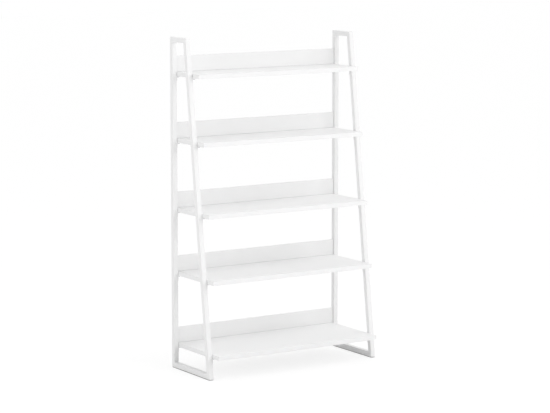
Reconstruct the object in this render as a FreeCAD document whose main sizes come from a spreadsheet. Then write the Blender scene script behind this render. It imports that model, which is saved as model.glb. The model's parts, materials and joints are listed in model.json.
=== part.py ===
"""Staircase bookshelf: two leaning frames of square tube that carry five boards, each with a low back rail.

Frame: +Z up, +X to the right of someone who faces the front, +Y to the back, millimetres.
The origin is on the floor, under the middle of the whole shelf.
"""
import math
import os
import re

import FreeCAD
import Part
import Sketcher

# Driving dimensions, in millimetres. Heights are above the floor and depths are forward of the back plane.
SIZES = {
    # The two side frames
    "frame_width": 1000.0,
    "frame_height": 1670.0,
    "floor_depth": 370.0,
    "top_depth": 154.0,
    "tube_side": 25.0,
    "tube_wall": 1.5,
    "tube_corner": 2.0,
    "tube_inner_corner": 0.5,
    # The five tiers, by the top face of each board: the lowest above the floor, the highest below the
    # frames' tops, and the others by their share of the way between those two
    "bottom_height": 126.0,
    "top_drop": 174.0,
    "lower_share": 0.267,
    "middle_share": 0.503,
    "upper_share": 0.758,
    # Boards
    "board_thickness": 22.0,
    "board_overhang": 62.0,
    "board_edge": 1.5,
    "end_gap": 0.5,
    "rear_setback": 1.5,
    # Back rails
    "rail_height": 80.0,
    "rail_thickness": 12.0,
    "rail_edge": 1.0,
    # Shelf cleats, cut from rolled steel angle
    "cleat_leg": 25.0,
    "cleat_thickness": 3.0,
    "cleat_length": 18.0,
    "cleat_root": 3.0,
    "cleat_toe": 1.5,
    # Bolts that hold the boards down on the cleats, and the nuts that take them
    "bolt_offset": 14.0,
    "bolt_diameter": 6.0,
    "bolt_head_diameter": 12.0,
    "bolt_head_height": 3.3,
    "bolt_head_edge": 1.0,
    "bolt_socket_width": 4.0,
    "bolt_socket_depth": 2.0,
    "bolt_end_gap": 2.0,
    "insert_diameter": 9.0,
    "insert_length": 13.0,
    # Tabs behind the rails' ends
    "tab_width": 20.0,
    "tab_height": 60.0,
    "tab_thickness": 3.0,
    "tab_corner": 4.0,
    "tab_screw_offset": 11.0,
    "tab_screw_spacing": 40.0,
    "tab_screw_diameter": 4.0,
    "tab_screw_head": 7.5,
    "tab_screw_cover": 3.0,
    # Screws that hold each rail to its board
    "rail_screw_diameter": 4.0,
    "rail_screw_head": 8.0,
    "rail_screw_bite": 28.0,
    # Glides under the floor bars
    "glide_height": 3.0,
    "glide_diameter": 20.0,
    "glide_edge": 1.0,
    "glide_stem_diameter": 8.0,
    "glide_stem_length": 9.0,
    "glide_inset": 24.0,
    # Clearances
    "fit_gap": 0.1,
    "hole_end_gap": 1.0,
    "cut_overrun": 1.0,
}

# What follows from those dimensions. A word here stands for its formula wherever a size is bound.
FORMULAS = {
    # For each millimetre of height, how far the legs lean back and how long they are
    "lean": "(floor_depth - top_depth) / frame_height",
    "slant": "sqrt(1 + lean ^ 2)",
    # Mitre slopes: how far a corner's cut runs along a tube for each millimetre across it
    "square_mitre": "1",
    "foot_mitre": "slant + lean",
    "head_mitre": "slant - lean",
    # The back plane, set so that the whole shelf is centred front to back
    "back": "(floor_depth - lean * (bottom_height - glide_height) + board_overhang) / 2",
    "frame_top": "glide_height + frame_height",
    "top_height": "frame_top - top_drop",
    "lower_height": "bottom_height + lower_share * (top_height - bottom_height)",
    "middle_height": "bottom_height + middle_share * (top_height - bottom_height)",
    "upper_height": "bottom_height + upper_share * (top_height - bottom_height)",
    "tube_middle": "frame_width / 2 - tube_side / 2",
    "inner_half": "frame_width / 2 - tube_side",
    "board_half": "inner_half - end_gap",
    "board_rear": "back - rear_setback",
    "rail_rear": "board_rear - tab_thickness",
    "rear_cleat_line": "back - tube_side / 2",
}

TIERS = ("bottom", "lower", "middle", "upper", "top")
SIDES = {"left": -1, "right": 1}
RAIL_SCREW_SHARES = (-0.9, -0.3, 0.3, 0.9)
FULL_TURN = 360.0
COUNTERSINK_ANGLE = 90.0
HEXAGON_TURNS = tuple(range(0, 360, 60))
# A sketch's own axes, by number. The first one starts at the sketch's origin.
ACROSS_AXIS = -1
UP_AXIS = -2

doc = FreeCAD.newDocument("staircase_bookshelf")
sheet = doc.addObject("Spreadsheet::Sheet", "Sizes")
for row, (alias, length) in enumerate(SIZES.items(), start=1):
    sheet.set(f"A{row}", alias)
    sheet.set(f"B{row}", str(length))
    sheet.setAlias(f"B{row}", alias)
doc.recompute()


# Formulas, sketches and features

def formula(text):
    """Put the sheet's cells in place of the words in a formula."""
    def put(match):
        word = match.group()
        if word in FORMULAS:
            return "(" + formula(FORMULAS[word]) + ")"
        return "Sizes." + word if word in SIZES else word
    return re.sub(r"[a-z][a-z_]*", put, text)


def bind(thing, prop, text):
    """Tie a property to a formula."""
    thing.setExpression(prop, formula(text))


def place(thing, x, y, z, axis=(0, 0, 1), angle="0 deg"):
    """Tie a piece's place and its turn about an axis to formulas."""
    # A turn of one degree keeps the axis until the formula gives the angle
    thing.Placement = FreeCAD.Placement(FreeCAD.Vector(), FreeCAD.Rotation(FreeCAD.Vector(*axis), 1.0))
    bind(thing, "Placement.Rotation.Angle", angle)
    for name, text in zip("xyz", (x, y, z)):
        bind(thing, f"Placement.Base.{name}", text)


def new_body(label):
    """Start a piece."""
    body = doc.addObject("PartDesign::Body", label)
    body.Label = label
    return body


def new_sketch(body, role):
    """Add a sketch on one of the piece's own origin planes."""
    sketch = body.newObject("Sketcher::SketchObject", "sketch")
    plane = next(feature for feature in body.Origin.OriginFeatures if feature.Role == role)
    sketch.AttachmentSupport = [(plane, "")]
    sketch.MapMode = "FlatFace"
    return sketch


def pin_point(sketch, index, position, across, up):
    """Tie one point of a sketch to formulas for its two coordinates."""
    for kind, axis, text in (("DistanceX", UP_AXIS, across), ("DistanceY", ACROSS_AXIS, up)):
        if text == "0":
            sketch.addConstraint(Sketcher.Constraint("PointOnObject", index, position, axis))
        else:
            number = sketch.addConstraint(Sketcher.Constraint(kind, ACROSS_AXIS, 1, index, position, 1.0))
            bind(sketch, f"Constraints[{number}]", text)


def draw_outline(sketch, corners):
    """Draw a closed outline of straight lines through corners given as formulas."""
    first = sketch.GeometryCount
    count = len(corners)
    angles = [2 * math.pi * i / count for i in range(count)]
    points = [FreeCAD.Vector(math.cos(angle), math.sin(angle), 0) for angle in angles]
    for i in range(count):
        sketch.addGeometry(Part.LineSegment(points[i], points[(i + 1) % count]), False)
    for i in range(count):
        sketch.addConstraint(Sketcher.Constraint("Coincident", first + i, 2, first + (i + 1) % count, 1))
    for i, (across, up) in enumerate(corners):
        pin_point(sketch, first + i, 1, across, up)


def draw_rectangle(sketch, left, right, low, high):
    """Draw an upright rectangle between four formulas."""
    draw_outline(sketch, [(left, low), (right, low), (right, high), (left, high)])


def draw_circles(sketch, diameter, centres):
    """Draw equal circles round centres given as formulas."""
    for across, up in centres:
        unit_circle = Part.Circle(FreeCAD.Vector(), FreeCAD.Vector(0, 0, 1), 1.0)
        index = sketch.addGeometry(unit_circle, False)
        number = sketch.addConstraint(Sketcher.Constraint("Diameter", index, 2.0))
        bind(sketch, f"Constraints[{number}]", diameter)
        pin_point(sketch, index, 3, across, up)


def pad(body, sketch, length, side="One side", reverse=False):
    """Raise a sketch into a solid."""
    feature = body.newObject("PartDesign::Pad", "pad")
    feature.Profile = sketch
    feature.SideType = side
    feature.Reversed = reverse
    bind(feature, "Length", length)
    doc.recompute()
    return feature


def needs_cut(body, feature, before):
    """Stop if a cut took nothing away."""
    doc.recompute()
    if not feature.isValid() or body.Shape.Volume >= before:
        raise RuntimeError(f"{body.Label}: {feature.Name} cuts nothing")


def pocket(body, sketch, length, side="One side", reverse=False):
    """Cut a sketch out of the piece."""
    before = body.Shape.Volume
    feature = body.newObject("PartDesign::Pocket", "pocket")
    feature.Profile = sketch
    feature.SideType = side
    feature.Reversed = reverse
    bind(feature, "Length", length)
    needs_cut(body, feature, before)


def drill(body, role, centres, diameter, depth=None, head=None, reverse=False):
    """Drill equal holes from an origin plane, to a depth or right through, with room for a head."""
    sketch = new_sketch(body, role)
    draw_circles(sketch, diameter, centres)
    doc.recompute()
    before = body.Shape.Volume
    feature = body.newObject("PartDesign::Hole", "hole")
    feature.Profile = sketch
    feature.ThreadType = "None"
    feature.DrillPoint = "Flat"
    feature.Reversed = reverse
    feature.DepthType = "Dimension" if depth else "ThroughAll"
    bind(feature, "Diameter", diameter)
    if depth:
        bind(feature, "Depth", depth)
    if head:
        feature.HoleCutType = "Countersink"
        feature.HoleCutCustomValues = True
        feature.HoleCutCountersinkAngle = COUNTERSINK_ANGLE
        bind(feature, "HoleCutDiameter", head)
    needs_cut(body, feature, before)


def round_edges(body, base, radius, edges=None):
    """Round the named edges of a feature, or all of them."""
    feature = body.newObject("PartDesign::Fillet", "fillet")
    feature.Base = (base, edges or [])
    feature.UseAllEdges = edges is None
    bind(feature, "Radius", radius)
    doc.recompute()
    return feature


def edges_through(shape, corners):
    """The names of a shape's edges that run along Y through corners given by X and Z."""
    names = []
    for number, edge in enumerate(shape.Edges, start=1):
        ends = [vertex.Point for vertex in edge.Vertexes]
        for x, z in corners:
            if max(math.hypot(end.x - x, end.z - z) for end in ends) < Part.Precision.confusion():
                names.append(f"Edge{number}")
    return names


def turn(body, outline):
    """Turn a half outline about the piece's own Z axis."""
    sketch = new_sketch(body, "XZ_Plane")
    draw_outline(sketch, outline)
    feature = body.newObject("PartDesign::Revolution", "turned")
    feature.Profile = sketch
    feature.ReferenceAxis = (sketch, ["V_Axis"])
    feature.Angle = FULL_TURN
    doc.recompute()


# Places that the leaning legs set

def leg_front(height):
    """The legs' front face at a height."""
    return f"(back - floor_depth + lean * ({height} - glide_height))"


def front_cleat_line(tier):
    """The middle of a leg, front to back, halfway down the cleat under a board."""
    height = f"({tier}_height - board_thickness - cleat_leg / 2)"
    return f"({leg_front(height)} + tube_side * slant / 2)"


def cleat_lines(tier):
    """The two lines that a tier's cleats lie on."""
    return {"rear": "rear_cleat_line", "front": front_cleat_line(tier)}


# Pieces

def mitred_tube(label, length, start_mitre, end_mitre):
    """A hollow square tube along +Y with its outer face down, mitred inwards at both ends."""
    body = new_body(label)
    section = new_sketch(body, "XZ_Plane")
    draw_rectangle(section, "-tube_side / 2", "tube_side / 2", "0", "tube_side")
    bore = "(tube_side / 2 - tube_wall)"
    draw_rectangle(section, f"-{bore}", bore, "tube_wall", "tube_side - tube_wall")
    drawn = pad(body, section, length, reverse=True)

    side, wall = sheet.tube_side, sheet.tube_wall
    outer_corners = [(sign * side / 2, z) for sign in SIDES.values() for z in (0, side)]
    bore_corners = [(sign * (side / 2 - wall), z) for sign in SIDES.values() for z in (wall, side - wall)]
    rounded = round_edges(body, drawn, "tube_corner", edges_through(drawn.Shape, outer_corners))
    round_edges(body, rounded, "tube_inner_corner", edges_through(rounded.Shape, bore_corners))

    past = "(tube_side + cut_overrun)"
    for mitre, end, inwards in ((start_mitre, "0", 1), (end_mitre, length, -1)):
        sketch = new_sketch(body, "YZ_Plane")
        outside = f"{end} - {inwards} * {mitre} * cut_overrun"
        inside = f"{end} + {inwards} * {mitre} * {past}"
        draw_outline(sketch, [(outside, "-cut_overrun"), (inside, past), (outside, past)])
        pocket(body, sketch, "tube_side + cut_overrun", side="Symmetric")
    return body


def side_frame(side, sign):
    """Four tubes round a closed loop: floor bar, upright, top bar and leaning leg."""
    x = f"{sign} * tube_middle"
    loop = (
        ("floor_bar", "floor_depth", "foot_mitre", "square_mitre", "back - floor_depth", "glide_height",
         "0 deg"),
        ("upright", "frame_height", "square_mitre", "square_mitre", "back", "glide_height", "90 deg"),
        ("top_bar", "top_depth", "square_mitre", "head_mitre", "back", "frame_top", "180 deg"),
        ("leg", "frame_height * slant", "head_mitre", "foot_mitre", "back - top_depth", "frame_top",
         "270 deg - atan(lean)"),
    )
    pieces = []
    for name, length, start_mitre, end_mitre, y, z, angle in loop:
        body = mitred_tube(f"{side}_{name}", length, start_mitre, end_mitre)
        if name == "floor_bar":
            stems = [("0", "glide_inset"), ("0", "floor_depth - glide_inset")]
            sketch = new_sketch(body, "XY_Plane")
            draw_circles(sketch, "glide_stem_diameter + 2 * fit_gap", stems)
            pocket(body, sketch, "tube_wall + cut_overrun", reverse=True)
        place(body, x, y, z, axis=(1, 0, 0), angle=angle)
        pieces.append(body)
    return pieces


def board(tier):
    """A shelf board with blind holes for its insert nuts and countersunk ones for its rail's screws."""
    body = new_body(f"{tier}_board")
    front = f"({leg_front(tier + '_height')} - board_overhang - board_rear)"
    sketch = new_sketch(body, "XY_Plane")
    draw_rectangle(sketch, "-board_half", "board_half", front, "0")
    slab = pad(body, sketch, "board_thickness")
    round_edges(body, slab, "board_edge")
    inserts = [
        (f"{sign} * (inner_half - bolt_offset)", f"{line} - board_rear")
        for sign in SIDES.values() for line in cleat_lines(tier).values()
    ]
    drill(body, "XY_Plane", inserts, "insert_diameter + 2 * fit_gap",
          "insert_length + hole_end_gap", reverse=True)
    screw_line = "-tab_thickness - rail_thickness / 2"
    screws = [(f"{share} * inner_half", screw_line) for share in RAIL_SCREW_SHARES]
    drill(body, "XY_Plane", screws, "rail_screw_diameter + 2 * fit_gap",
          head="rail_screw_head + 2 * fit_gap", reverse=True)
    place(body, "0", "board_rear", f"{tier}_height - board_thickness")
    return body


def rail(tier):
    """A back rail that stands on its board, with pilot holes for the screws from below and from behind."""
    body = new_body(f"{tier}_rail")
    sketch = new_sketch(body, "XY_Plane")
    draw_rectangle(sketch, "-board_half", "board_half", "-rail_thickness", "0")
    strip = pad(body, sketch, "rail_height")
    round_edges(body, strip, "rail_edge")
    below = [(f"{share} * inner_half", "-rail_thickness / 2") for share in RAIL_SCREW_SHARES]
    drill(body, "XY_Plane", below, "rail_screw_diameter + 2 * fit_gap",
          "rail_screw_bite + hole_end_gap", reverse=True)
    behind = [
        (f"{sign} * (inner_half - tab_screw_offset)", f"rail_height / 2 + {step} * tab_screw_spacing / 2")
        for sign in SIDES.values() for step in (-1, 1)
    ]
    drill(body, "XZ_Plane", behind, "tab_screw_diameter + 2 * fit_gap",
          "rail_thickness - tab_screw_cover + hole_end_gap", reverse=True)
    place(body, "0", "rail_rear", f"{tier}_height")
    return body


def cleat(tier, side, sign, line_name, line):
    """A short length of steel angle under a board's corner, one flange flat against its tube."""
    body = new_body(f"{tier}_{side}_{line_name}_cleat")
    sketch = new_sketch(body, "XZ_Plane")
    draw_outline(sketch, [
        ("0", "0"), ("cleat_leg", "0"), ("cleat_leg", "-cleat_thickness"),
        ("cleat_thickness", "-cleat_thickness"), ("cleat_thickness", "-cleat_leg"), ("0", "-cleat_leg"),
    ])
    angle_bar = pad(body, sketch, "cleat_length", side="Symmetric")
    reach, thickness = sheet.cleat_leg, sheet.cleat_thickness
    root = [(thickness, -thickness)]
    toes = [(reach, -thickness), (thickness, -reach)]
    rooted = round_edges(body, angle_bar, "cleat_root", edges_through(angle_bar.Shape, root))
    round_edges(body, rooted, "cleat_toe", edges_through(rooted.Shape, toes))
    drill(body, "XY_Plane", [("bolt_offset", "0")], "bolt_diameter + 2 * fit_gap")
    place(body, f"{sign} * inner_half", line, f"{tier}_height - board_thickness",
          angle="180 deg" if sign > 0 else "0 deg")
    return body


def rail_tab(tier, side, sign):
    """A flat plate that reaches in from an upright behind the end of a rail, countersunk from the back."""
    body = new_body(f"{tier}_{side}_tab")
    sketch = new_sketch(body, "XZ_Plane")
    draw_rectangle(sketch, "0", "tab_width", "-tab_height / 2", "tab_height / 2")
    plate = pad(body, sketch, "tab_thickness")
    free_corners = [(sheet.tab_width, step * sheet.tab_height / 2) for step in (-1, 1)]
    round_edges(body, plate, "tab_corner", edges_through(plate.Shape, free_corners))
    screws = [("tab_screw_offset", f"{step} * tab_screw_spacing / 2") for step in (-1, 1)]
    drill(body, "XZ_Plane", screws, "tab_screw_diameter + 2 * fit_gap",
          head="tab_screw_head + 2 * fit_gap", reverse=True)
    place(body, f"{sign} * inner_half", "board_rear", f"{tier}_height + rail_height / 2",
          axis=(0, 1, 0), angle="180 deg" if sign > 0 else "0 deg")
    return body


def glide(side, sign, end, y):
    """A nylon glide: a bevelled pad under a floor bar and a stem pressed up through the tube's wall."""
    body = new_body(f"{side}_{end}_glide")
    pad_radius = "glide_diameter / 2"
    stem_radius = "glide_stem_diameter / 2"
    stem_top = "glide_height + glide_stem_length"
    turn(body, [
        ("0", "0"), (f"{pad_radius} - glide_edge", "0"), (pad_radius, "glide_edge"),
        (pad_radius, "glide_height"), (stem_radius, "glide_height"), (stem_radius, stem_top),
        ("0", stem_top),
    ])
    place(body, f"{sign} * tube_middle", y, "0")
    return body


# Fasteners, each drawn once along +Z and repeated in a group

def cleat_bolt():
    """A socket-headed bolt whose head bears on the cleat from below."""
    body = new_body("cleat_bolt")
    head = "bolt_head_diameter / 2"
    shank = "bolt_diameter / 2"
    tip = "cleat_thickness + insert_length - bolt_end_gap"
    turn(body, [
        ("0", "-bolt_head_height"), (f"{head} - bolt_head_edge", "-bolt_head_height"),
        (head, "bolt_head_edge - bolt_head_height"), (head, "0"), (shank, "0"), (shank, tip), ("0", tip),
    ])
    socket = new_sketch(body, "XY_Plane")
    bind(socket, "AttachmentOffset.Base.z", "-bolt_head_height")
    corner = "bolt_socket_width / (2 * cos(30 deg))"
    hexagon = [(f"{corner} * cos({at} deg)", f"{corner} * sin({at} deg)") for at in HEXAGON_TURNS]
    draw_outline(socket, hexagon)
    pocket(body, socket, "bolt_socket_depth", reverse=True)
    return body


def insert_nut():
    """A sleeve nut let into a board from below."""
    body = new_body("insert_nut")
    bore = "bolt_diameter / 2 + fit_gap"
    outer = "insert_diameter / 2"
    turn(body, [(bore, "0"), (outer, "0"), (outer, "insert_length"), (bore, "insert_length")])
    return body


def countersunk_screw(label, diameter, head, length):
    """A pointed screw with a flat head, flush at the origin."""
    body = new_body(label)
    neck = f"({head} - {diameter}) / 2"
    point = f"{length} - {diameter} / 2"
    turn(body, [
        ("0", "0"), (f"{head} / 2", "0"), (f"{diameter} / 2", neck), (f"{diameter} / 2", point),
        ("0", length),
    ])
    return body


def group(label, master, places):
    """Repeat one fastener at all its places as a single node."""
    links = []
    for number, where in enumerate(places, start=1):
        link = doc.addObject("App::Link", f"{master.Label}_{number}")
        link.LinkedObject = master
        place(link, **where)
        links.append(link)
    node = doc.addObject("Part::Compound", label)
    node.Label = label
    node.Links = links
    return node


def fastener_groups():
    """All the fasteners, as four nodes of separate solids."""
    corners = [
        (tier, f"{sign} * (inner_half - bolt_offset)", line)
        for tier in TIERS for sign in SIDES.values() for line in cleat_lines(tier).values()
    ]
    under_cleats = [
        {"x": x, "y": y, "z": f"{tier}_height - board_thickness - cleat_thickness"} for tier, x, y in corners
    ]
    under_boards = [{"x": x, "y": y, "z": f"{tier}_height - board_thickness"} for tier, x, y in corners]
    behind_tabs = [
        {
            "x": f"{sign} * (inner_half - tab_screw_offset)", "y": "board_rear",
            "z": f"{tier}_height + rail_height / 2 + {step} * tab_screw_spacing / 2",
            "axis": (1, 0, 0), "angle": "90 deg",
        }
        for tier in TIERS for sign in SIDES.values() for step in (-1, 1)
    ]
    under_rails = [
        {
            "x": f"{share} * inner_half", "y": "rail_rear - rail_thickness / 2",
            "z": f"{tier}_height - board_thickness",
        }
        for tier in TIERS for share in RAIL_SCREW_SHARES
    ]
    tab_screw = countersunk_screw("tab_screw", "tab_screw_diameter", "tab_screw_head",
                                  "(tab_thickness + rail_thickness - tab_screw_cover)")
    rail_screw = countersunk_screw("rail_screw", "rail_screw_diameter", "rail_screw_head",
                                   "(board_thickness + rail_screw_bite)")
    return [
        group("cleat_bolts", cleat_bolt(), under_cleats),
        group("insert_nuts", insert_nut(), under_boards),
        group("tab_screws", tab_screw, behind_tabs),
        group("rail_screws", rail_screw, under_rails),
    ]


def bookshelf():
    """All the pieces, in the order they go together."""
    pieces = []
    for side, sign in SIDES.items():
        pieces += side_frame(side, sign)
        for end, y in (("front", "back - floor_depth + glide_inset"), ("rear", "back - glide_inset")):
            pieces.append(glide(side, sign, end, y))
    for tier in TIERS:
        for side, sign in SIDES.items():
            for line_name, line in cleat_lines(tier).items():
                pieces.append(cleat(tier, side, sign, line_name, line))
            pieces.append(rail_tab(tier, side, sign))
        pieces += [board(tier), rail(tier)]
    return pieces + fastener_groups()


def check_and_write(pieces):
    """Stop if anything failed, then write each piece to a file of its own."""
    doc.recompute()
    for thing in doc.Objects:
        if "Invalid" in thing.State or "Error" in thing.State:
            raise RuntimeError(f"{thing.Label} failed: {thing.State}")
    for piece in pieces:
        if piece.Shape.isNull() or not piece.Shape.isValid() or not piece.Shape.Solids:
            raise RuntimeError(f"{piece.Label} has no valid solid")
    os.makedirs("parts", exist_ok=True)
    for piece in pieces:
        piece.Shape.exportStep(f"parts/{piece.Label}.step")
        print(f"{piece.Label}: {len(piece.Shape.Solids)} solid(s), {piece.Shape.Volume:.1f} mm3")


check_and_write(bookshelf())
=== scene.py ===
"""Staircase bookshelf in white: its finishes, welds and screws, and the studio that it stands in.

Everything is in metres, with +Z up, +X to the right of someone who faces the front and +Y to the back.
"""

import json
import math

import bmesh
import bpy
from bpy.props import FloatProperty, FloatVectorProperty, IntProperty, PointerProperty
from mathutils import Matrix, Vector


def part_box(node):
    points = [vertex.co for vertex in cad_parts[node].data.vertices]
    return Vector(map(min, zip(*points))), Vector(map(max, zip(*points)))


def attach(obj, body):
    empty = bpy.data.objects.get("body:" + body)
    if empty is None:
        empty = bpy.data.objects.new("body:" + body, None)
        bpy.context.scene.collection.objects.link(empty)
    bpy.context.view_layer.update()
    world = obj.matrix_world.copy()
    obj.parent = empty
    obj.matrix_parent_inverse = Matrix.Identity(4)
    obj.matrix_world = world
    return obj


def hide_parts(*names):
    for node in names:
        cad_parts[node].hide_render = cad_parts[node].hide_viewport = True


bl_info = {
    "name": "Staircase Bookshelf",
    "version": (1, 0, 0),
    "blender": (4, 5, 0),
    "location": "3D View > Sidebar > Bookshelf",
    "description": "Finishes a white staircase bookshelf and sets it in a plain studio",
    "category": "Object",
}

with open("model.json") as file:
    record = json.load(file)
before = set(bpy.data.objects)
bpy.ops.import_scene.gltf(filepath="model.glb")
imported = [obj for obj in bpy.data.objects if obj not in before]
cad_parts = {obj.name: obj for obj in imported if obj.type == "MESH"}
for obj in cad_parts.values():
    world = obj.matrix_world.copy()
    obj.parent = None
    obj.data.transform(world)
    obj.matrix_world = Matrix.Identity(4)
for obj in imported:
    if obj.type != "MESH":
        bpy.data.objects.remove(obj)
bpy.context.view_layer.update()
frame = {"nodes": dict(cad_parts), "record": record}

TIERS = ("bottom", "lower", "middle", "upper", "top")
# The way inwards, along X, from each side frame
INWARD = {"left": 1, "right": -1}
RIGHT = Vector((1, 0, 0))
BACK = Vector((0, 1, 0))
UP = Vector((0, 0, 1))
RIGHT_ANGLE = math.pi / 2
# Half the diagonal of a square whose sides are 1
HALF_DIAGONAL = math.sqrt(0.5)

# Widths of the spots in the finishes
COAT_CLOUD = 0.09
PAINT_CLOUD = 0.16
PAINT_STREAK = 0.004
NYLON_CLOUD = 0.006
NYLON_SCUFF = 0.0008
METAL_CLOUD = 0.003
METAL_GRAIN = 0.0004
# Factors on X, Y and Z that draw the streaks out along the boards and the scuffs from front to back
STREAK_STRETCH = (0.03, 1, 1)
SCUFF_STRETCH = (1, 0.2, 1)
# The mean of the spots, which go from 0 to 1
MIDDLE = 0.5
# Shares of a finish's colour that its darkest spots keep
THIN_COAT = 0.98
THIN_PAINT = 0.985
CLOUDED_NYLON = 0.92
DULL_METAL = 0.82
# Depths of the finishes' reliefs
COAT_RELIEF = 0.00003
PAINT_RELIEF = 0.00002
NYLON_RELIEF = 0.00004
METAL_RELIEF = 0.00003

# Faces round the crown of a weld bead
CROWN_FACES = 5
# The shares of a board's half length at which its rail is screwed down
RAIL_SCREW_SHARES = (-0.9, -0.3, 0.3, 0.9)
# How far each screw's recess is turned from the one before it, as hand-driven screws end up
SCREW_TURN = math.radians(137.5)
# The ways of a cross recess's arms
CROSS_WAYS = (RIGHT, BACK, -RIGHT, -BACK)
# Corners nearer to each other than this are one
MERGE_DISTANCE = 1e-7
# Faces that meet at less than this are shaded as one surface
SMOOTH_ANGLE = math.radians(40)
# How far a piece may miss the box of the node that it stands for
FIT_TOLERANCE = 2e-4

# Where the lamps stand, by their angles round the shelf from its front and above the floor, in degrees
LAMP_PLACES = {
    "left": (-75, 19),
    "front_right": (15, 19),
    "high_right": (60, 50),
    "back": (180, 35),
    "high_back": (180, 60),
}
# The lamps that are panels near the shelf, the others being wide and far off
PANELS = ("left", "front_right")


def lamp_ways():
    """The lamps' places, in radians."""
    return {name: [math.radians(angle) for angle in angles] for name, angles in LAMP_PLACES.items()}


def slot_colour(slot):
    """The colour that the record gives one of its material slots."""
    return next(row["base_color"] for row in frame["record"]["materials"] if row["slot"] == slot)


# Sizes and colours that a user would change

def colour_property(name, description, slot):
    """A colour whose default comes from the record."""
    return FloatVectorProperty(
        name=name, description=description, subtype="COLOR", size=3, min=0, max=1, default=slot_colour(slot)
    )


def length_property(name, description, default):
    """A length in metres."""
    return FloatProperty(
        name=name, description=description, default=default, min=0, precision=5, unit="LENGTH"
    )


def share_property(name, description, default):
    """A share between nothing and all."""
    return FloatProperty(
        name=name, description=description, default=default, min=0, max=1, subtype="FACTOR"
    )


def angle_property(name, description, degrees):
    """An angle, given in degrees."""
    return FloatProperty(
        name=name, description=description, default=math.radians(degrees), subtype="ANGLE", unit="ROTATION"
    )


class FinishSettings(bpy.types.PropertyGroup):
    """Colours and textures of the shelf's materials"""
    coat_colour: colour_property("Coat", "Powder coat on tubes, cleats and tabs", "frame_coat")
    coat_roughness: share_property("Coat roughness", "How dull the powder coat is", 0.42)
    coat_peel: length_property("Coat peel", "Width of the powder coat's ripples", 0.0024)
    coat_dust: length_property("Coat dust", "Width of the powder coat's grains", 0.0004)
    board_colour: colour_property("Boards", "Paint on boards and rails", "board_finish")
    board_roughness: share_property("Board roughness", "How dull the paint on the boards is", 0.5)
    board_stipple: length_property("Board stipple", "Width of the marks that the roller left", 0.0011)
    # The next two settings paint shade into the coat's and the paint's colour, darker where other surfaces
    # stand near, as in tight joints and corners
    painted_joint_shade: share_property("Painted joint shade", "Share of the white that is left in tight joints", 0.88)
    painted_joint_shade_reach: length_property("Painted joint shade reach", "How far from a joint its shade spreads", 0.005)
    glide_colour: colour_property("Glides", "Nylon of the glides", "glide_nylon")
    glide_roughness: share_property("Glide roughness", "How dull the glides are", 0.5)
    metal_roughness: share_property("Metal roughness", "How dull bolts, screws and inserts are", 0.34)
    bolt_colour: colour_property("Bolts", "Zinc plate on the bolts", "bolt_steel")
    screw_colour: colour_property("Screws", "Zinc plate on the screws", "screw_steel")
    insert_colour: colour_property("Inserts", "Brass of the insert nuts", "insert_brass")


class WeldSettings(bpy.types.PropertyGroup):
    """Sizes of the weld beads"""
    corner_leg: length_property("Corner leg", "Height of the beads in the frames' corners", 0.003)
    corner_length: length_property("Corner length", "Length of the beads in the frames' corners", 0.021)
    cleat_leg: length_property("Cleat leg", "Height of the beads beside the cleats", 0.002)
    cleat_length: length_property("Cleat length", "Length of the beads beside the cleats", 0.011)
    tab_leg: length_property("Tab leg", "Height of the beads behind the tabs", 0.0014)
    tab_length: length_property("Tab length", "Length of the beads behind the tabs", 0.016)
    tab_opening: angle_property("Tab opening", "Angle between a tab and the rounded tube beside it", 120)
    ripple: length_property("Ripple", "Distance between the ripples of a bead", 0.0012)
    valley_share: share_property("Valley", "Height of a bead between two ripples", 0.86)
    end_share: share_property("End", "Height of a bead at its ends", 0.45)
    crown_share: share_property("Crown", "How far the bead's face is rounded off", 0.8)


class ScrewSettings(bpy.types.PropertyGroup):
    """Sizes of the screws"""
    shank: length_property("Shank", "Diameter of the screws' shanks", 0.004)
    tab_head: length_property("Tab head", "Diameter of the heads in the tabs", 0.0075)
    tab_length: length_property("Tab screw", "Length of the screws in the tabs", 0.012)
    tab_offset: length_property("Tab offset", "Distance of the tab screws from the frames", 0.011)
    tab_spacing: length_property("Tab spacing", "Distance between a tab's two screws", 0.04)
    rail_head: length_property("Rail head", "Diameter of the heads under the boards", 0.008)
    rail_length: length_property("Rail screw", "Length of the screws under the boards", 0.05)
    recess_width: length_property("Recess width", "Width of the cross recess's slots", 0.0009)
    recess_length: length_property("Recess length", "Length of the cross recess's slots", 0.0044)
    recess_depth: length_property("Recess depth", "Depth of the cross recess", 0.0016)
    recess_taper_share: share_property("Recess taper", "Size of the recess at its bottom", 0.55)
    sides: IntProperty(name="Sides", description="Sides of the round parts", default=28, min=12, max=64)


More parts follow.
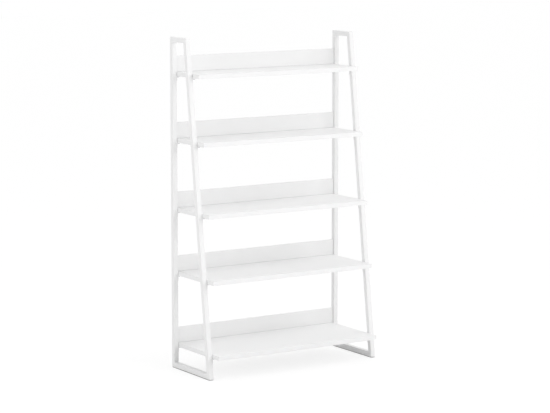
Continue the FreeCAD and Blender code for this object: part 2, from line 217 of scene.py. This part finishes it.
class StudioSettings(bpy.types.PropertyGroup):
    """Camera, lamps and floor"""
    azimuth: angle_property("Azimuth", "Way round the shelf from its front to the camera", -32.68)
    elevation: angle_property("Elevation", "Height of the camera above the horizon", 8.32)
    distance: length_property("Distance", "Distance of the camera from what it aims at", 10.578)
    aim: FloatVectorProperty(
        name="Aim", description="Point that the camera and the lamps aim at", size=3,
        default=(-0.0132, 0, 0.8094), precision=4, subtype="XYZ", unit="LENGTH",
    )
    lens: FloatProperty(
        name="Lens", description="Focal length in millimetres", default=136.85, min=1, unit="CAMERA"
    )
    panel_distance: length_property("Panel distance", "Distance of the near lamps from the aim", 4.24)
    panel_size: length_property("Panel size", "Width of the near lamps", 2)
    lamp_spread: angle_property("Lamp spread", "Angle that each far lamp fills, seen from the shelf", 45)
    left: share_property("Left", "Level of the lamp on the left", 0.139)
    front_right: share_property("Front right", "Level of the lamp to the right of the camera", 0.224)
    high_right: share_property("High right", "Level of the high lamp on the right", 0.183)
    back: share_property("Back", "Level of the lamp behind the shelf", 0.089)
    high_back: share_property("High back", "Level of the high lamp behind the shelf", 0.102)
    surround: share_property("Surround", "Level of the light from all round", 0.593)
    floor_size: length_property("Floor size", "Width of the floor", 60)
    floor_bounce: share_property("Floor bounce", "Share of the light that the floor gives back", 0.9)
    # Reach of the painted contact shadow on the floor
    painted_contact_shadow_reach: length_property("Painted contact shadow reach", "How near the floor a piece darkens it", 0.008)
    floor_shade: share_property("Floor shade", "Share of the floor's white that shadows take away", 0.28)
    floor_white_share: share_property("Floor white", "Share of the floor's full light that is white", 0.89)


# Shader maths and nodes

class Value:
    """What a node gives out. A number can be used in sums with others and with plain numbers."""

    def __init__(self, finish, socket):
        self.finish = finish
        self.socket = socket

    def maths(self, operation, first, second):
        """Add one Math node."""
        return self.finish.node("ShaderNodeMath", {"operation": operation}, {0: first, 1: second})

    def __add__(self, other):
        return self.maths("ADD", self, other)

    def __radd__(self, other):
        return self.maths("ADD", other, self)

    def __sub__(self, other):
        return self.maths("SUBTRACT", self, other)

    def __rsub__(self, other):
        return self.maths("SUBTRACT", other, self)

    def __mul__(self, other):
        return self.maths("MULTIPLY", self, other)

    def __rmul__(self, other):
        return self.maths("MULTIPLY", other, self)


class Finish:
    """The nodes of one material, or of the world."""

    def __init__(self, owner):
        owner.use_nodes = True
        self.owner = owner
        self.tree = owner.node_tree
        self.tree.nodes.clear()

    def node(self, kind, settings=None, sockets=None, output=0):
        """Make a node, set it up, fill its sockets and give back one of its outputs."""
        made = self.tree.nodes.new(kind)
        for name, setting in (settings or {}).items():
            setattr(made, name, setting)
        for name, filling in (sockets or {}).items():
            if isinstance(filling, Value):
                self.tree.links.new(filling.socket, made.inputs[name])
            else:
                made.inputs[name].default_value = filling
        return Value(self, made.outputs[output]) if made.outputs else None

    def place(self):
        """A point's place on the shelf."""
        return self.node("ShaderNodeTexCoord", output="Object")

    def stretched(self, place, stretch):
        """A place for spots that are drawn out along the axes whose stretch is below 1."""
        return self.node("ShaderNodeVectorMath", {"operation": "MULTIPLY"}, {0: place, 1: stretch})

    def noise(self, place, width, detail):
        """Soft spots of about one width, from 0 to 1."""
        sockets = {"Vector": place, "Scale": 1 / width, "Detail": detail}
        return self.node("ShaderNodeTexNoise", sockets=sockets)

    def mixed(self, share, first, second):
        """A colour between two. The Mix node has its colours at inputs 6 and 7 and at output 2."""
        colours = {6: (*first, 1), 7: (*second, 1)}
        return self.node("ShaderNodeMix", {"data_type": "RGBA"}, {0: share, **colours}, output=2)

    def blended(self, share, first, second):
        """A shader between two."""
        return self.node("ShaderNodeMixShader", sockets={0: share, 1: first, 2: second})

    def clear(self, reach):
        """1 on an open surface, and less where other surfaces stand nearer than a reach."""
        return self.node("ShaderNodeAmbientOcclusion", sockets={"Distance": reach}, output="AO")

    def bump(self, height, depth):
        """The normal of a surface with a relief of one depth."""
        return self.node("ShaderNodeBump", sockets={"Height": height, "Distance": depth}, output="Normal")

    def surface(self, **sockets):
        """Close the material with one shader. An underscore stands for the space in a socket's name."""
        named = {name.replace("_", " "): filling for name, filling in sockets.items()}
        self.close(self.node("ShaderNodeBsdfPrincipled", sockets=named))

    def close(self, shader, output="ShaderNodeOutputMaterial"):
        """Send a shader to the output."""
        self.node(output, sockets={"Surface": shader})

    def seen(self):
        """1 for what the camera sees, also in gloss and through glass, and 0 for the light that is cast."""
        ways = ("Is Camera Ray", "Is Glossy Ray", "Is Transmission Ray")
        camera, glossy, through = (self.node("ShaderNodeLightPath", output=way) for way in ways)
        return camera + glossy + through


def new_finish(name):
    """Start a material."""
    return Finish(bpy.data.materials.new(name))


def dimmed(colour, share):
    """A colour with a share of its light."""
    return [part * share for part in colour]


def grey(level):
    """A grey for a colour socket, which is white at level 1."""
    return (level, level, level, 1)


def varied(level, *swings):
    """A level that swings with some spots, by the width that comes with each of them."""
    for width, spots in swings:
        level = level + width * (spots - MIDDLE)
    return level


def film_colour(finish, looks, colour, cover, thin_share):
    """A white film's colour: a share of it where the film covers least, and painted shade that darkens it
    further in tight joints and corners.
    """
    fading = (1 - thin_share) / (1 - looks.painted_joint_shade)
    # Painted shade: the colour darkens where other surfaces stand within the reach, as well as where the
    # film is thin
    white = finish.clear(looks.painted_joint_shade_reach) * (1 - fading * (1 - cover))
    return finish.mixed(white, dimmed(colour, looks.painted_joint_shade), colour)


def powder_coat(looks):
    """White powder coat: a low orange peel, with a little less gloss and colour where it is thin."""
    finish = new_finish("white_powder_coat")
    place = finish.place()
    cloud = finish.noise(place, COAT_CLOUD, detail=3)
    peel = finish.noise(place, looks.coat_peel, detail=1)
    dust = finish.noise(place, looks.coat_dust, detail=1)
    cover = 0.6 * cloud + 0.4 * peel
    finish.surface(
        # Base Color carries painted shade in tight joints, from film_colour
        Base_Color=film_colour(finish, looks, looks.coat_colour, cover, THIN_COAT),
        Roughness=varied(looks.coat_roughness, (0.16, cloud), (0.1, dust)),
        Normal=finish.bump(peel + 0.15 * dust, COAT_RELIEF),
    )
    return finish.owner


def board_paint(looks):
    """Satin white paint, rolled along the boards: soft clouds, drawn-out streaks and a fine stipple."""
    finish = new_finish("satin_white_paint")
    place = finish.place()
    cloud = finish.noise(place, PAINT_CLOUD, detail=3)
    streak = finish.noise(finish.stretched(place, STREAK_STRETCH), PAINT_STREAK, detail=2)
    stipple = finish.noise(place, looks.board_stipple, detail=2)
    cover = 0.4 * cloud + 0.2 * streak + 0.4 * stipple
    finish.surface(
        # Base Color carries painted shade in tight joints, from film_colour
        Base_Color=film_colour(finish, looks, looks.board_colour, cover, THIN_PAINT),
        Roughness=varied(looks.board_roughness, (0.14, streak), (0.1, cloud)),
        Normal=finish.bump(stipple + 0.3 * streak, PAINT_RELIEF),
    )
    return finish.owner


def nylon(looks):
    """Moulded natural nylon, faintly clouded and scuffed."""
    finish = new_finish("natural_nylon")
    place = finish.place()
    cloud = finish.noise(place, NYLON_CLOUD, detail=3)
    scuff = finish.noise(finish.stretched(place, SCUFF_STRETCH), NYLON_SCUFF, detail=2)
    finish.surface(
        Base_Color=finish.mixed(cloud, dimmed(looks.glide_colour, CLOUDED_NYLON), looks.glide_colour),
        Roughness=varied(looks.glide_roughness, (0.2, scuff)),
        Normal=finish.bump(scuff, NYLON_RELIEF),
    )
    return finish.owner


def metal(looks, name, colour):
    """Plated or plain metal: cloudy lights and darks, and a finely tumbled surface."""
    finish = new_finish(name)
    place = finish.place()
    cloud = finish.noise(place, METAL_CLOUD, detail=4)
    grain = finish.noise(place, METAL_GRAIN, detail=2)
    finish.surface(
        Base_Color=finish.mixed(cloud, dimmed(colour, DULL_METAL), colour),
        Metallic=1.0,
        Roughness=varied(looks.metal_roughness, (0.2, grain), (0.12, cloud)),
        Normal=finish.bump(grain, METAL_RELIEF),
    )
    return finish.owner


def floor_light(studio):
    """The level of the light on the open floor."""
    lamps = (getattr(studio, name) * math.sin(height) for name, (_, height) in lamp_ways().items())
    return studio.surround + sum(lamps)


def floor_white(studio):
    """A floor that is white in full light, with a painted contact shadow in narrow gaps, and gives back
    part of its light.
    """
    finish = new_finish("studio_floor")
    shaded = finish.node("ShaderNodeBsdfDiffuse", sockets={"Color": grey(studio.floor_shade)})
    lit = studio.floor_shade * studio.floor_white_share * floor_light(studio)
    white = finish.node("ShaderNodeEmission", sockets={"Strength": 1 - lit})
    bright = finish.node("ShaderNodeAddShader", sockets={0: shaded, 1: white})
    # Painted contact shadow: near other surfaces the floor's white emission fades out, leaving only its
    # shaded diffuse
    shown = finish.blended(finish.clear(studio.painted_contact_shadow_reach), shaded, bright)
    cast = finish.node("ShaderNodeBsdfDiffuse", sockets={"Color": grey(studio.floor_bounce)})
    finish.close(finish.blended(finish.seen(), cast, shown))
    return finish.owner


def white_surround(studio):
    """A world that is white to the eye and lights the shelf evenly."""
    finish = Finish(bpy.data.worlds.new("studio_surround"))
    cast = finish.node("ShaderNodeBackground", sockets={"Color": grey(1), "Strength": studio.surround})
    shown = finish.node("ShaderNodeBackground", sockets={"Color": grey(1), "Strength": 1.0})
    finish.close(finish.blended(finish.seen(), cast, shown), "ShaderNodeOutputWorld")
    return finish.owner


# Modelling steps

def finish_nodes(slot, material):
    """Give a material to all the pieces of one slot."""
    names = [row["node"] for row in frame["record"]["subparts"] if row["material_slot"] == slot]
    if not names:
        raise RuntimeError(f"no piece has the slot {slot}")
    for name in names:
        frame["nodes"][name].material_slots[0].material = material


def material_named(name):
    """A material that an earlier operator made."""
    if name not in bpy.data.materials:
        raise RuntimeError(f"{name} has not been made yet")
    return bpy.data.materials[name]


def pick_edges(mesh, wanted):
    """Select the edges, and only those, that a test wants."""
    shape = bmesh.from_edit_mesh(mesh)
    bpy.ops.mesh.select_all(action="DESELECT")
    for edge in shape.edges:
        edge.select_set(wanted(edge))
    bmesh.update_edit_mesh(mesh)


def pick_vertex(mesh, rank):
    """Select the one corner that ranks highest."""
    shape = bmesh.from_edit_mesh(mesh)
    bpy.ops.mesh.select_all(action="DESELECT")
    max(shape.verts, key=rank).select_set(True)
    bmesh.update_edit_mesh(mesh)


def raise_to(height, size):
    """Extrude what is selected along Z and draw it in or out round the Z axis."""
    bpy.ops.mesh.extrude_region_move(TRANSFORM_OT_translate={"value": (0, 0, height)})
    bpy.ops.transform.resize(value=(size, size, 1), center_override=(0, 0, 0))


def close_mesh():
    """Merge the corners that meet, turn all the faces outwards and leave edit mode."""
    bpy.ops.mesh.select_all(action="SELECT")
    bpy.ops.mesh.remove_doubles(threshold=MERGE_DISTANCE)
    bpy.ops.mesh.normals_make_consistent(inside=False)
    bpy.ops.object.mode_set(mode="OBJECT")


def choose(*things):
    """Select these objects alone, the last one active."""
    bpy.ops.object.select_all(action="DESELECT")
    for thing in things:
        thing.select_set(True)
        bpy.context.view_layer.objects.active = thing


def set_out(master, places):
    """Copy a master to each of its places, each copy with a mesh of its own, and take the master away."""
    copies = []
    for place in places:
        choose(master)
        bpy.ops.object.duplicate(linked=False)
        copy = bpy.context.active_object
        copy.matrix_world = place
        bpy.ops.object.transform_apply(location=True, rotation=True, scale=True)
        copies.append(copy)
    bpy.data.objects.remove(master)
    return copies


def hand_over(name, copies, finish):
    """Join copies into one piece of the shelf, with its finish."""
    choose(*copies)
    bpy.ops.object.join()
    piece = bpy.context.active_object
    piece.name = name
    piece.data.name = name
    piece.data.materials.clear()
    piece.data.materials.append(finish)
    bpy.ops.object.shade_smooth_by_angle(angle=SMOOTH_ANGLE)
    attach(piece, "root")
    return piece


def standing(origin, across, along):
    """The place of a piece whose X lies across and whose Z lies along two directions."""
    z = Vector(along).normalized()
    x = Vector(across).normalized()
    turned = Matrix((x, z.cross(x), z)).transposed()
    return Matrix.Translation(origin) @ turned.to_4x4()


def on_frames(*kinds):
    """Each piece of some kinds on the frames: the way inwards, the frame's wall and the piece's box."""
    for tier in TIERS:
        for side, inward in INWARD.items():
            for kind in kinds:
                low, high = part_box(f"{tier}_{side}_{kind}")
                wall = low.x if side == "left" else high.x
                yield inward, wall, low, high


# Weld beads

def weld_bead(welds, leg, length, opening=RIGHT_ANGLE):
    """A rippled bead along Z, its back edge on the axis, in a corner that opens towards X."""
    spread = math.tan(opening / 2)
    side = leg / math.hypot(HALF_DIAGONAL, spread * HALF_DIAGONAL)
    bpy.ops.object.select_all(action="DESELECT")
    bpy.ops.mesh.primitive_plane_add(
        size=side, location=(side * HALF_DIAGONAL, 0, 0), rotation=(0, 0, RIGHT_ANGLE / 2)
    )
    bpy.ops.object.transform_apply(location=True, rotation=True, scale=True)
    bead = bpy.context.active_object
    bpy.ops.object.mode_set(mode="EDIT")
    bpy.ops.transform.resize(value=(1, spread, 1), center_override=(0, 0, 0))
    pick_vertex(bead.data, lambda corner: corner.co.x)
    bpy.ops.mesh.bevel(offset=welds.crown_share * leg, segments=CROWN_FACES, affect="VERTICES")

    steps = 2 * round(length / welds.ripple)
    sizes = [1.0 if step % 2 else welds.valley_share for step in range(steps + 1)]
    sizes[0] = sizes[-1] = welds.end_share
    bpy.ops.mesh.select_all(action="SELECT")
    bpy.ops.transform.resize(value=(sizes[0], sizes[0], 1), center_override=(0, 0, 0))
    for size, before in zip(sizes[1:], sizes):
        raise_to(length / steps, size / before)
    close_mesh()
    return bead


def frame_corners(welds, side):
    """The inner corners of a side frame: each one's opening and the place of its bead."""
    floor_low, floor_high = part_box(f"{side}_floor_bar")
    top_low, top_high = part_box(f"{side}_top_bar")
    upright_low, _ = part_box(f"{side}_upright")
    _, leg_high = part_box(f"{side}_leg")
    slope = (top_low.y - floor_low.y) / (top_high.z - floor_low.z)
    leg_way = Vector((0, slope, 1)).normalized()
    leg_foot = leg_high.y - slope * (top_low.z - floor_high.z)
    start = (floor_low.x + floor_high.x - welds.corner_length) / 2
    corners = (
        (upright_low.y, floor_high.z, -BACK, UP),
        (upright_low.y, top_low.z, -BACK, -UP),
        (leg_high.y, top_low.z, BACK, -leg_way),
        (leg_foot, floor_high.z, BACK, leg_way),
    )
    return [
        (first.angle(second), standing((start, y, z), first + second, RIGHT))
        for y, z, first, second in corners
    ]


def cleat_ends(welds):
    """The places of the beads beside the cleats: low on each front end and high on each rear end."""
    places = []
    for inward, wall, low, high in on_frames("front_cleat", "rear_cleat"):
        middle = (low.z + high.z) / 2
        places += [
            standing((wall, low.y, middle - welds.cleat_length), (inward, -1, 0), UP),
            standing((wall, high.y, middle), (inward, 1, 0), UP),
        ]
    return places


def tab_backs(welds):
    """The places of the beads behind the tabs, two to a tab, in the hollow beside the rounded tube."""
    half_opening = welds.tab_opening / 2
    places = []
    for inward, wall, low, high in on_frames("tab"):
        across = (inward * math.cos(half_opening), math.sin(half_opening), 0)
        starts = (low.z, high.z - welds.tab_length)
        places += [standing((wall, high.y, start), across, UP) for start in starts]
    return places


# Screws

def cross_cutter(screws):
    """A tapered cross that stands on the XY plane."""
    half = screws.recess_width / 2
    slack = half / 4
    reach = (screws.recess_length - screws.recess_width) / 2
    above = screws.recess_depth / 4
    bpy.ops.object.select_all(action="DESELECT")
    bpy.ops.mesh.primitive_plane_add(size=screws.recess_width, location=(0, 0, -above))
    bpy.ops.object.transform_apply(location=True, rotation=True, scale=True)
    cutter = bpy.context.active_object
    bpy.ops.object.mode_set(mode="EDIT")
    for way in CROSS_WAYS:
        pick_edges(cutter.data, lambda edge: all(
            abs(corner.co.dot(way) - half) < slack and abs(corner.co.cross(way).z) < half + slack
            for corner in edge.verts
        ))
        bpy.ops.mesh.extrude_edges_move(TRANSFORM_OT_translate={"value": way * reach})
    bpy.ops.mesh.select_all(action="SELECT")
    raise_to(above, 1)
    raise_to(screws.recess_depth, screws.recess_taper_share)
    close_mesh()
    return cutter


def screw(screws, head, length):
    """A countersunk screw along Z, its head flush with the XY plane, with a cross recess."""
    shank = screws.shank
    neck = (head - shank) / 2
    point = shank / 2
    bpy.ops.object.select_all(action="DESELECT")
    bpy.ops.mesh.primitive_circle_add(
        vertices=screws.sides, radius=head / 2, fill_type="NGON", location=(0, 0, 0)
    )
    made = bpy.context.active_object
    bpy.ops.object.mode_set(mode="EDIT")
    raise_to(neck, shank / head)
    raise_to(length - neck - point, 1)
    raise_to(point, 1)
    bpy.ops.mesh.merge(type="CENTER")
    close_mesh()

    cutter = cross_cutter(screws)
    choose(made)
    bpy.ops.object.modifier_add(type="BOOLEAN")
    recess = made.modifiers[-1]
    recess.operation = "DIFFERENCE"
    recess.object = cutter
    bpy.ops.object.modifier_apply(modifier=recess.name)
    bpy.data.objects.remove(cutter)
    return made


def screw_places(heads, along):
    """The places of screws from the middles of their heads, each turned a little further than the last."""
    first = along.orthogonal()
    turns = [Matrix.Rotation(number * SCREW_TURN, 3, along) for number in range(len(heads))]
    return [standing(head, turn @ first, along) for head, turn in zip(heads, turns)]


def tab_heads(screws):
    """The middles of the screw heads behind the tabs."""
    heads = []
    for inward, wall, low, high in on_frames("tab"):
        x = wall + inward * screws.tab_offset
        middle = (low.z + high.z) / 2
        for step in (-1, 1):
            heads.append(Vector((x, high.y, middle + step * screws.tab_spacing / 2)))
    return heads


def rail_heads():
    """The middles of the screw heads under the boards."""
    _, upright_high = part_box("left_upright")
    half_length = -upright_high.x
    heads = []
    for tier in TIERS:
        board_low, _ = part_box(f"{tier}_board")
        rail_low, rail_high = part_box(f"{tier}_rail")
        y = (rail_low.y + rail_high.y) / 2
        heads += [Vector((share * half_length, y, board_low.z)) for share in RAIL_SCREW_SHARES]
    return heads


def put_in_place_of(piece, node):
    """Let a piece stand for a node, after a test that it fills the same box."""
    corners = [Vector(corner) for corner in piece.bound_box]
    low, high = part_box(node)
    for axis in range(3):
        ends = [corner[axis] for corner in corners]
        if max(abs(min(ends) - low[axis]), abs(max(ends) - high[axis])) > FIT_TOLERANCE:
            raise RuntimeError(f"{piece.name} does not fill the place of {node}")
    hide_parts(node)


# Studio

def direction(azimuth, elevation):
    """The way to something, by its angle round the shelf from the front and its angle above the floor."""
    level = math.cos(elevation)
    return Vector((math.sin(azimuth) * level, -math.cos(azimuth) * level, math.sin(elevation)))


def aim_at(thing, target, way, distance):
    """Stand a camera or a lamp off from a target and turn it there."""
    thing.location = target + way * distance
    thing.rotation_euler = (-way).to_track_quat("-Z", "Y").to_euler()
    bpy.context.scene.collection.objects.link(thing)


def add_panel(studio, name, way):
    """A square lamp near the shelf that brings a white card at the aim to the lamp's level."""
    lamp = bpy.data.lights.new(f"{name}_lamp", "AREA")
    lamp.size = studio.panel_size
    lamp.energy = (math.pi * studio.panel_distance) ** 2 * getattr(studio, name)
    aim_at(bpy.data.objects.new(f"{name}_lamp", lamp), Vector(studio.aim), way, studio.panel_distance)


def add_far_lamp(studio, name, way):
    """A wide lamp far off that brings a white card anywhere to the lamp's level."""
    lamp = bpy.data.lights.new(f"{name}_lamp", "SUN")
    lamp.angle = studio.lamp_spread
    lamp.energy = math.pi * getattr(studio, name)
    aim_at(bpy.data.objects.new(f"{name}_lamp", lamp), Vector(studio.aim), way, studio.distance)


def add_camera(studio):
    """The camera at the photograph's viewing angle."""
    camera = bpy.data.cameras.new("studio_camera")
    camera.lens = studio.lens
    stand = bpy.data.objects.new("studio_camera", camera)
    aim_at(stand, Vector(studio.aim), direction(studio.azimuth, studio.elevation), studio.distance)
    bpy.context.scene.camera = stand


def add_floor(studio):
    """The floor that the shelf stands on."""
    bpy.ops.object.select_all(action="DESELECT")
    bpy.ops.mesh.primitive_plane_add(size=studio.floor_size, location=(0, 0, 0))
    floor = bpy.context.active_object
    floor.name = "studio_floor"
    floor.data.materials.append(floor_white(studio))


# Operators

class BOOKSHELF_OT_coat_frames(bpy.types.Operator):
    """Powder coat the tubes, the cleats and the tabs"""
    bl_idname = "bookshelf.coat_frames"
    bl_label = "Coat frames"

    def execute(self, context):
        finish_nodes("frame_coat", powder_coat(context.scene.bookshelf_finish))
        return {"FINISHED"}


class BOOKSHELF_OT_paint_boards(bpy.types.Operator):
    """Paint the boards and their back rails"""
    bl_idname = "bookshelf.paint_boards"
    bl_label = "Paint boards"

    def execute(self, context):
        finish_nodes("board_finish", board_paint(context.scene.bookshelf_finish))
        return {"FINISHED"}


class BOOKSHELF_OT_mould_glides(bpy.types.Operator):
    """Give the glides their nylon"""
    bl_idname = "bookshelf.mould_glides"
    bl_label = "Mould glides"

    def execute(self, context):
        finish_nodes("glide_nylon", nylon(context.scene.bookshelf_finish))
        return {"FINISHED"}


class BOOKSHELF_OT_plate_bolts(bpy.types.Operator):
    """Plate the bolts and give the insert nuts their brass"""
    bl_idname = "bookshelf.plate_bolts"
    bl_label = "Plate bolts"

    def execute(self, context):
        looks = context.scene.bookshelf_finish
        finish_nodes("bolt_steel", metal(looks, "zinc_plate", looks.bolt_colour))
        finish_nodes("insert_brass", metal(looks, "plain_brass", looks.insert_colour))
        return {"FINISHED"}


class BOOKSHELF_OT_weld_corners(bpy.types.Operator):
    """Weld the inner corners of the side frames"""
    bl_idname = "bookshelf.weld_corners"
    bl_label = "Weld corners"

    def execute(self, context):
        welds = context.scene.bookshelf_welds
        for side in INWARD:
            beads = []
            for opening, place in frame_corners(welds, side):
                master = weld_bead(welds, welds.corner_leg, welds.corner_length, opening)
                beads += set_out(master, [place])
            hand_over(f"{side}_corner_welds", beads, material_named("white_powder_coat"))
        return {"FINISHED"}


class BOOKSHELF_OT_weld_cleats(bpy.types.Operator):
    """Weld the cleats to the tubes"""
    bl_idname = "bookshelf.weld_cleats"
    bl_label = "Weld cleats"

    def execute(self, context):
        welds = context.scene.bookshelf_welds
        beads = set_out(weld_bead(welds, welds.cleat_leg, welds.cleat_length), cleat_ends(welds))
        hand_over("cleat_welds", beads, material_named("white_powder_coat"))
        return {"FINISHED"}


class BOOKSHELF_OT_weld_tabs(bpy.types.Operator):
    """Weld the tabs to the uprights"""
    bl_idname = "bookshelf.weld_tabs"
    bl_label = "Weld tabs"

    def execute(self, context):
        welds = context.scene.bookshelf_welds
        master = weld_bead(welds, welds.tab_leg, welds.tab_length, welds.tab_opening)
        beads = set_out(master, tab_backs(welds))
        hand_over("tab_welds", beads, material_named("white_powder_coat"))
        return {"FINISHED"}


class BOOKSHELF_OT_drive_screws(bpy.types.Operator):
    """Drive the screws that hold the rails to the tabs and the boards"""
    bl_idname = "bookshelf.drive_screws"
    bl_label = "Drive screws"

    def execute(self, context):
        screws = context.scene.bookshelf_screws
        looks = context.scene.bookshelf_finish
        zinc = metal(looks, "screw_zinc", looks.screw_colour)
        sets = (
            ("tab_screws", screws.tab_head, screws.tab_length, tab_heads(screws), -BACK),
            ("rail_screws", screws.rail_head, screws.rail_length, rail_heads(), UP),
        )
        for node, head, length, heads, along in sets:
            copies = set_out(screw(screws, head, length), screw_places(heads, along))
            put_in_place_of(hand_over(f"driven_{node}", copies, zinc), node)
        return {"FINISHED"}


class BOOKSHELF_OT_set_stage(bpy.types.Operator):
    """Set up the floor, the lamps, the surround and the camera"""
    bl_idname = "bookshelf.set_stage"
    bl_label = "Set stage"

    def execute(self, context):
        studio = context.scene.bookshelf_studio
        add_floor(studio)
        for name, angles in lamp_ways().items():
            add_lamp = add_panel if name in PANELS else add_far_lamp
            add_lamp(studio, name, direction(*angles))
        context.scene.world = white_surround(studio)
        add_camera(studio)
        context.scene.view_settings.view_transform = "Standard"
        return {"FINISHED"}


class BOOKSHELF_PT_steps(bpy.types.Panel):
    """The steps that finish the shelf, with their settings"""
    bl_idname = "BOOKSHELF_PT_steps"
    bl_label = "Staircase Bookshelf"
    bl_space_type = "VIEW_3D"
    bl_region_type = "UI"
    bl_category = "Bookshelf"

    def draw(self, context):
        for operator in OPERATORS:
            self.layout.operator(operator.bl_idname)
        for name, settings in SETTINGS.items():
            box = self.layout.box()
            for key in settings.__annotations__:
                box.prop(getattr(context.scene, name), key)


OPERATORS = (
    BOOKSHELF_OT_coat_frames,
    BOOKSHELF_OT_paint_boards,
    BOOKSHELF_OT_mould_glides,
    BOOKSHELF_OT_plate_bolts,
    BOOKSHELF_OT_weld_corners,
    BOOKSHELF_OT_weld_cleats,
    BOOKSHELF_OT_weld_tabs,
    BOOKSHELF_OT_drive_screws,
    BOOKSHELF_OT_set_stage,
)
SETTINGS = {
    "bookshelf_finish": FinishSettings,
    "bookshelf_welds": WeldSettings,
    "bookshelf_screws": ScrewSettings,
    "bookshelf_studio": StudioSettings,
}


def register():
    """Add the settings, the operators and the panel."""
    for cls in (*SETTINGS.values(), *OPERATORS, BOOKSHELF_PT_steps):
        bpy.utils.register_class(cls)
    for name, settings in SETTINGS.items():
        setattr(bpy.types.Scene, name, PointerProperty(type=settings))


def unregister():
    """Take the settings, the operators and the panel away."""
    for name in SETTINGS:
        delattr(bpy.types.Scene, name)
    for cls in (BOOKSHELF_PT_steps, *OPERATORS, *SETTINGS.values()):
        bpy.utils.unregister_class(cls)


def main():
    """Run every step in order."""
    register()
    bpy.ops.bookshelf.coat_frames()
    bpy.ops.bookshelf.paint_boards()
    bpy.ops.bookshelf.mould_glides()
    bpy.ops.bookshelf.plate_bolts()
    bpy.ops.bookshelf.weld_corners()
    bpy.ops.bookshelf.weld_cleats()
    bpy.ops.bookshelf.weld_tabs()
    bpy.ops.bookshelf.drive_screws()
    bpy.ops.bookshelf.set_stage()


if __name__ == "__main__":
    main()
